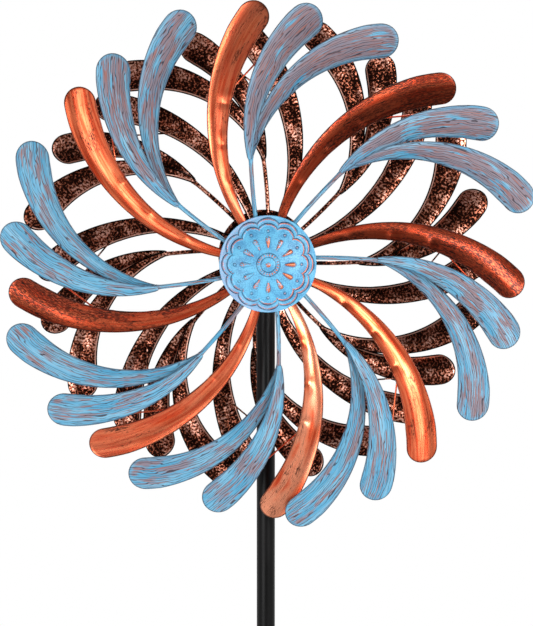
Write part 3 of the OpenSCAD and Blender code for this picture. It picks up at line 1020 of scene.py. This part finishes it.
@dataclass(frozen=True)
class Wheel:
    """One wheel: eight single blades, eight leaf pairs on rods, brace wires and a domed cap.

    Attributes:
        family: Which of the two wheels it is.
        body: CAD body that it turns with.
        ratio: Size of its blades against the front wheel's.
        start: Angle of its first sector.
        bends: Degrees that each single blade was bent off an even spacing.
        leaf_bends: The same for each leaf pair.
        reaches: Millimetres that each leaf pair reaches further out than the design.
        blade_node: Name of the single blades' nodes, without the number.
        leaf_node: Name of the leaf pairs' nodes, without the number.
        burnish_and_shading: Wear of each single blade, which also sets its painted light: painted shade above
            0.3, painted sheen below 0.
        brushed: Wear of each leaf pair.
    """

    family: Family
    body: str
    ratio: float
    start: float
    bends: tuple[float, ...]
    leaf_bends: tuple[float, ...]
    reaches: tuple[float, ...]
    blade_node: str
    leaf_node: str
    tip_radius: float = 296.0
    rod_in: tuple[float, float] = (34.5, 16.0)
    rod_out: tuple[float, float] = (137.0, 6.0)
    rod_radius: float = 2.5
    wire_radius: float = 1.0
    leaf_lift: float = 3.5
    # Painted light, blade by blade: blades 3, 4 and 8 get painted shade, blades 1, 2, 5, 6 and 7 painted
    # sheen, most on blade 6.
    burnish_and_shading: tuple[float, ...] = (-0.1, -0.3, 0.85, 1.0, -0.1, -1.0, -0.3, 0.75)
    brushed: tuple[float, ...] = (0.65, 1.0, 0.8, 0.5, 0.35, 0.4, 0.3, 0.25)

    def angle(self, sector: int, leaf: bool) -> float:
        """Angle of a sector's leaf pair or single blade; sectors count from 0."""
        return self.start - sector * STEP + (self.leaf_bends if leaf else self.bends)[sector]

    def finish(self, leaf: bool) -> Material:
        """Returns the coat of a leaf or of a single blade."""
        if self.family is Family.REAR:
            return AntiqueCopper().material()
        return (PatinaEnamel() if leaf else CopperLacquer()).material()

    def slot(self, leaf: bool) -> str:
        """Returns the record's slot for a leaf or a single blade."""
        if self.family is Family.REAR:
            return "antique_copper"
        return "blue_patina" if leaf else "bright_copper"

    def blade(self, sector: int) -> Sheet:
        """The single blade of a sector, with three creases along its inner edge."""
        k = self.ratio
        creases = ((62.0 * k, 1.6), (112.0 * k, 2.0), (160.0 * k, 2.2))
        return Sheet((38.0, 28.0), (self.tip_radius * k, -2.0), 217.0 * k, 7.0, 37.0 * k, 0.0, 0.0,
                     self.angle(sector, leaf=False), 3 * sector + 1, self.burnish_and_shading[sector], creases)

    def leaf(self, sector: int, near: bool) -> Sheet:
        """The near leaf of a sector's pair, which lies in front, or the far one, which bows further."""
        k, reach = self.ratio, self.reaches[sector]
        tip = (self.tip_radius * k + reach + (2.0 if near else 3.0), -14.0 if near else -33.0)
        bow, belly = (183.0 * k, 0.3) if near else (165.0 * k, 0.0)
        lift = self.leaf_lift if near else -self.leaf_lift
        return Sheet((125.0 * k + reach, 7.0), tip, bow, 5.0, 40.0 * k, belly, lift,
                     self.angle(sector, leaf=True), 3 * sector + (2 if near else 3), self.brushed[sector],
                     rows=64)

    def rod(self, sector: int, axes: Axes) -> Shell:
        """The rod of a pair with its weld bead: a tube that swells where the leaves sit on it, then tapers.

        Args:
            sector: Number of the sector.
            axes: The wheel's axes.

        Returns:
            The rod's shell.
        """
        turn = self.angle(sector, leaf=True)
        inner = polar(self.rod_in[0], self.rod_in[1] + turn)
        outer = polar(self.rod_out[0] * self.ratio + self.reaches[sector], self.rod_out[1] + turn)
        x = np.linspace(0, 1, 60)
        side = np.array([-(outer - inner)[1], (outer - inner)[0]]) / np.linalg.norm(outer - inner)
        flat = inner + (outer - inner) * x[:, None] + side * (1.6 * np.sin(math.pi * x))[:, None]
        bead = np.exp(-(((x - 0.9) / 0.035) ** 2)) * (1 + 0.3 * np.sin(x * 260.0 + sector))
        radii = self.rod_radius * (1 - 0.55 * smooth(x, 0.9, 1.0)) + 0.7 * bead
        path = np.column_stack([flat, np.zeros(len(x))])
        return tube(path, radii, 40 + sector, axes)

    def wire(self, sector: int, axes: Axes) -> Shell:
        """A brace wire from the blade's back to the near leaf's back, with a small hook at its outer end.

        Args:
            sector: Number of the sector.
            axes: The wheel's axes.

        Returns:
            The wire's shell.
        """
        blade, leaf = self.blade(sector), self.leaf(sector, near=True)
        drop = np.array([0.0, 0.0, self.wire_radius + blade.thickness])
        a = blade.surface(np.array(0.57 * blade.length), np.array(-0.1)) - drop
        b = leaf.surface(np.array(0.62 * leaf.length), np.array(0.7)) - 2 * drop
        x = np.linspace(0, 1, 40)[:, None]
        path = a + (b - a) * x - np.array([0.0, 0.0, 1.5]) * np.sin(math.pi * x)
        way = (b - a) / np.linalg.norm(b - a)
        side = np.cross([0.0, 0.0, 1.0], way)
        turn = np.linspace(0, 1.2 * math.pi, 14)[1:, None]
        hook = b + 3.0 * (way * np.sin(turn) - side * (1 - np.cos(turn)))
        path = np.concatenate([path, hook])
        return tube(path, np.full(len(path), self.wire_radius), 60 + sector, axes, sides=8)

    def place(self, shell: Shell, name: str, material: Material, slot: str, *nodes: str) -> None:
        """Makes a piece that rides on the wheel and stands for CAD nodes.

        Args:
            shell: Its surface.
            name: Its name.
            material: Its finish.
            slot: The record's slot; not used.
            nodes: CAD nodes that it replaces.
        """
        piece = shell.piece(name, material)
        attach(piece, self.body)
        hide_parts(*nodes)
        log.info("%s: %d faces", name, len(piece.data.polygons))

    def build(self, frame: dict[str, Any]) -> None:
        """Makes every piece of the wheel.

        Args:
            frame: The loaded frame.
        """
        joint = next(j for j in frame["joints"] if j["child"] == self.body)
        axes = Axes.of_joint(joint)
        side = self.family.value
        for sector in range(COUNT):
            number = sector + 1
            self.place(self.blade(sector).shell(axes), f"{side}_blade_sheet_{number}", self.finish(False),
                       self.slot(False), f"{self.blade_node}_{number}")
            pair = [self.leaf(sector, near).shell(axes) for near in (True, False)]
            self.place(joined([*pair, self.rod(sector, axes)]), f"{side}_leaves_and_rod_{number}",
                       self.finish(True), self.slot(True), f"{self.leaf_node}_{number}")
        wires = joined([self.wire(sector, axes) for sector in range(COUNT)])
        self.place(wires, f"{side}_wires", self.finish(False), self.slot(False), f"{side}_brace_wires")
        plain = self.family is Family.REAR
        cap_finish = AntiqueCopper().material() if plain else CapEnamel().material()
        self.place(Cap().shell(axes, plain), f"{side}_cap", cap_finish, self.slot(True), f"{side}_dome_cap")
        self.dress_hub(frame)

    def dress_hub(self, frame: dict[str, Any]) -> None:
        """Gives the CAD hub and bearings their finishes."""
        if self.family is Family.REAR:
            coat = CastPaint("antique copper hub coat", "#2a140d", "#7a4630", 1.0, (0.5, 0.35))
        else:
            coat = CastPaint("blue hub enamel", "#57b2dc", "#86737f", 0.0, (0.42, 0.6))
        side = self.family.value
        dress(frame, f"{side}_hub", coat.material())
        dress(frame, f"{side}_bearings", TurnedSteel().material())


def dress(frame: dict[str, Any], node: str, material: Material) -> None:
    """Puts one finish on every slot of a CAD node.

    Args:
        frame: The loaded frame.
        node: Name of the node.
        material: The finish.
    """
    mesh = frame["nodes"][node].data
    mesh.materials.clear()
    mesh.materials.append(material)
    log.info("%s: %s", node, material.name)


@dataclass(frozen=True)
class Stand:
    """The pole, its fork and the head that carries the axle: CAD pieces that only need their finishes."""

    coated: tuple[str, ...] = ("pole_top_section", "pole_middle_section", "pole_bottom_section",
                               "fork_socket", "fork_cross_bars", "ground_spikes", "head_block")
    blackened: tuple[str, ...] = ("pole_joint_screws", "head_screw")
    plated: tuple[str, ...] = ("axle", "spacer_sleeves", "axle_washers", "axle_lock_nuts")

    def build(self, frame: dict[str, Any]) -> None:
        """Dresses every node of the stand."""
        screws = PowderCoat("blackened screw steel", "#2c2c2e", "#3b3b3d", 0.8, (0.35, 0.5))
        for nodes, finish in ((self.coated, PowderCoat()), (self.blackened, screws),
                              (self.plated, TurnedSteel())):
            for node in nodes:
                dress(frame, node, finish.material())


@dataclass(frozen=True)
class Softbox:
    """One square studio light.

    Attributes:
        place: Where it stands from the front hub, in metres.
        size: Its side, in metres.
        power: Its power, in watts.
    """

    place: tuple[float, float, float]
    size: float
    power: float

    def build(self, name: str, target: Vector) -> None:
        """Makes the light and turns it to the target."""
        data = bpy.data.lights.new(name, "AREA")
        data.shape = "SQUARE"
        data.size = self.size
        data.energy = self.power
        light = bpy.data.objects.new(name, data)
        light.location = target + Vector(self.place)
        light.rotation_euler = (target - light.location).to_track_quat("-Z", "Y").to_euler()
        bpy.context.scene.collection.objects.link(light)


@dataclass(frozen=True)
class Studio:
    """Camera, lights, white surroundings and a pale round floor that fades out at its edge.

    Attributes:
        distance: Camera to front hub, in metres.
        azimuth: Its bearing in degrees, from straight ahead of the front wheel.
        elevation: Its height over the hub, in degrees.
        view_height: What its view takes in at the hub's distance, in metres.
        hub_from_aim: How far right of and above the aimed point the hub is, in mm.
        floor_radius: Radius of the floor, in metres.
        room: Brightness of the surroundings in reflections.
        boxes: The lights.
    """

    distance: float = 2.0
    azimuth: float = -2.0
    elevation: float = 4.5
    view_height: float = 0.723
    hub_from_aim: tuple[float, float] = (1.3, 57.2)
    floor_radius: float = 3.2
    room: float = 0.95
    boxes: tuple[Softbox, ...] = (
        Softbox((-1.3, -2.0, -0.5), 1.3, 22.0),
        Softbox((1.3, -2.0, 0.15), 1.1, 40.0),
        Softbox((0.4, 1.8, 1.9), 1.6, 30.0),
    )

    def camera(self, hub: Vector) -> None:
        """Places the camera and aims it below the front hub, so that the view takes in the top of the pole.

        Args:
            hub: Centre of the front wheel.
        """
        a, e = math.radians(self.azimuth), math.radians(self.elevation)
        back = Vector((math.sin(a) * math.cos(e), -math.cos(a) * math.cos(e), math.sin(e)))
        turn = (-back).to_track_quat("-Z", "Y")
        right, up = turn @ Vector((1, 0, 0)), turn @ Vector((0, 1, 0))
        off_x, off_y = (n * MM for n in self.hub_from_aim)
        data = bpy.data.cameras.new("camera")
        data.lens = data.sensor_width * self.distance / self.view_height
        data.clip_end = 100.0
        camera = bpy.data.objects.new("camera", data)
        camera.location = hub + back * self.distance
        aim = hub - right * off_x - up * off_y
        camera.rotation_euler = (aim - camera.location).to_track_quat("-Z", "Y").to_euler()
        bpy.context.scene.collection.objects.link(camera)
        bpy.context.scene.camera = camera

    def surroundings(self) -> None:
        """White behind the object, and a soft room with bright side walls and a dim ceiling to reflect."""
        world = bpy.data.worlds.new("studio")
        bpy.context.scene.world = world
        world.use_nodes = True
        tree = world.node_tree
        tree.nodes.clear()
        way = add(tree, "TexCoord").outputs["Generated"]
        axes = add(tree, "SeparateXYZ", {0: way}).outputs
        aside = add(tree, "Math", {0: axes["X"]}, operation="ABSOLUTE").outputs[0]
        sides, ceiling = ramp(tree, aside, 0.15, 0.8, 0.5, 1.0), ramp(tree, axes["Z"], -0.3, 0.5, 1.0, 0.5)
        walls = product(tree, sides, ceiling)
        lit = add(tree, "Background", {"Strength": product(tree, walls, self.room)}).outputs[0]
        white = add(tree, "Background", {"Color": (1.0, 1.0, 1.0, 1.0), "Strength": 1.0}).outputs[0]
        seen = add(tree, "LightPath").outputs["Is Camera Ray"]
        both = add(tree, "MixShader", {0: seen, 1: lit, 2: white}).outputs[0]
        add(tree, "OutputWorld", {"Surface": both})

    def floor(self, height: float) -> None:
        """A round pale floor under the spikes, made of rings, that turns clear towards its edge.

        Args:
            height: Its height, in metres.
        """
        radii = np.linspace(0.0, self.floor_radius, 12)[1:]
        turn = np.linspace(0, 2 * math.pi, 64, endpoint=False)
        r, a = np.meshgrid(radii, turn, indexing="ij")
        points = np.stack([r * np.cos(a), r * np.sin(a), r * 0 + height], axis=-1).reshape(-1, 3)
        quads = grid_faces(len(radii), 64, wrap=True)
        mesh = bpy.data.meshes.new("floor")
        mesh.from_pydata(points.tolist(), [], quads.tolist() + [list(range(64))])
        material, tree, shader = new_material("pale studio floor")
        where = add(tree, "TexCoord").outputs["Object"]
        far = add(tree, "VectorMath", {0: where}, operation="LENGTH").outputs["Value"]
        shader.inputs["Base Color"].default_value = (0.86, 0.86, 0.86, 1.0)
        shader.inputs["Roughness"].default_value = 0.9
        clear = add(tree, "BsdfTransparent").outputs[0]
        fade = ramp(tree, far, self.floor_radius * 0.45, self.floor_radius * 0.95)
        faded = add(tree, "MixShader", {0: fade, 1: shader.outputs[0], 2: clear}).outputs[0]
        tree.links.new(faded, tree.nodes["Material Output"].inputs["Surface"])
        mesh.materials.append(material)
        floor = bpy.data.objects.new("floor", mesh)
        bpy.context.scene.collection.objects.link(floor)
        floor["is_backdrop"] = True

    def build(self, hub: Vector, ground: float) -> None:
        """Makes the camera, the lights, the surroundings and the floor.

        Args:
            hub: Centre of the front wheel.
            ground: Height of the lowest point of the object.
        """
        self.camera(hub)
        for number, box in enumerate(self.boxes, 1):
            box.build(f"softbox_{number}", hub)
        self.surroundings()
        self.floor(ground - 0.001)
        bpy.context.scene.view_settings.view_transform = "Standard"


FRONT = Wheel(Family.FRONT, "front_wheel", 1.0, 136.5, (2.5, 1.5, -1.5, -6.5, -7.0, 0.0, 1.0, 5.0),
              (3.5, 1.0, -2.0, -6.5, -9.0, -2.0, 0.5, 4.0), (-2.0, -3.0, 10.0, 3.0, 5.0, -5.0, 6.0, 5.0),
              "front_copper_blade", "front_leaf_pair")
REAR = Wheel(Family.REAR, "rear_wheel", 0.925, 89.5, (-3.0, -1.0, -3.0, -4.5, 3.5, 2.5, 2.0, 1.0),
             (-6.5, -4.5, -5.0, -4.0, -0.5, 0.0, -2.0, -1.0), (3.0, 9.0, 4.0, 2.0, 0.0, -2.0, 1.0, 4.0),
             "rear_blade", "rear_leaf_pair")


def main() -> None:
    """Builds the sculpture round its frame and the studio round both."""
    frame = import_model()
    cad_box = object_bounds()
    hub = Vector(next(j for j in frame["joints"] if j["child"] == FRONT.body)["pos_m"])
    Studio().build(hub, cad_box[0].z)
    Stand().build(frame)
    for wheel in (FRONT, REAR):
        wheel.build(frame)


if __name__ == "__main__":
    logging.basicConfig(level=logging.INFO, format="%(message)s")
    main()
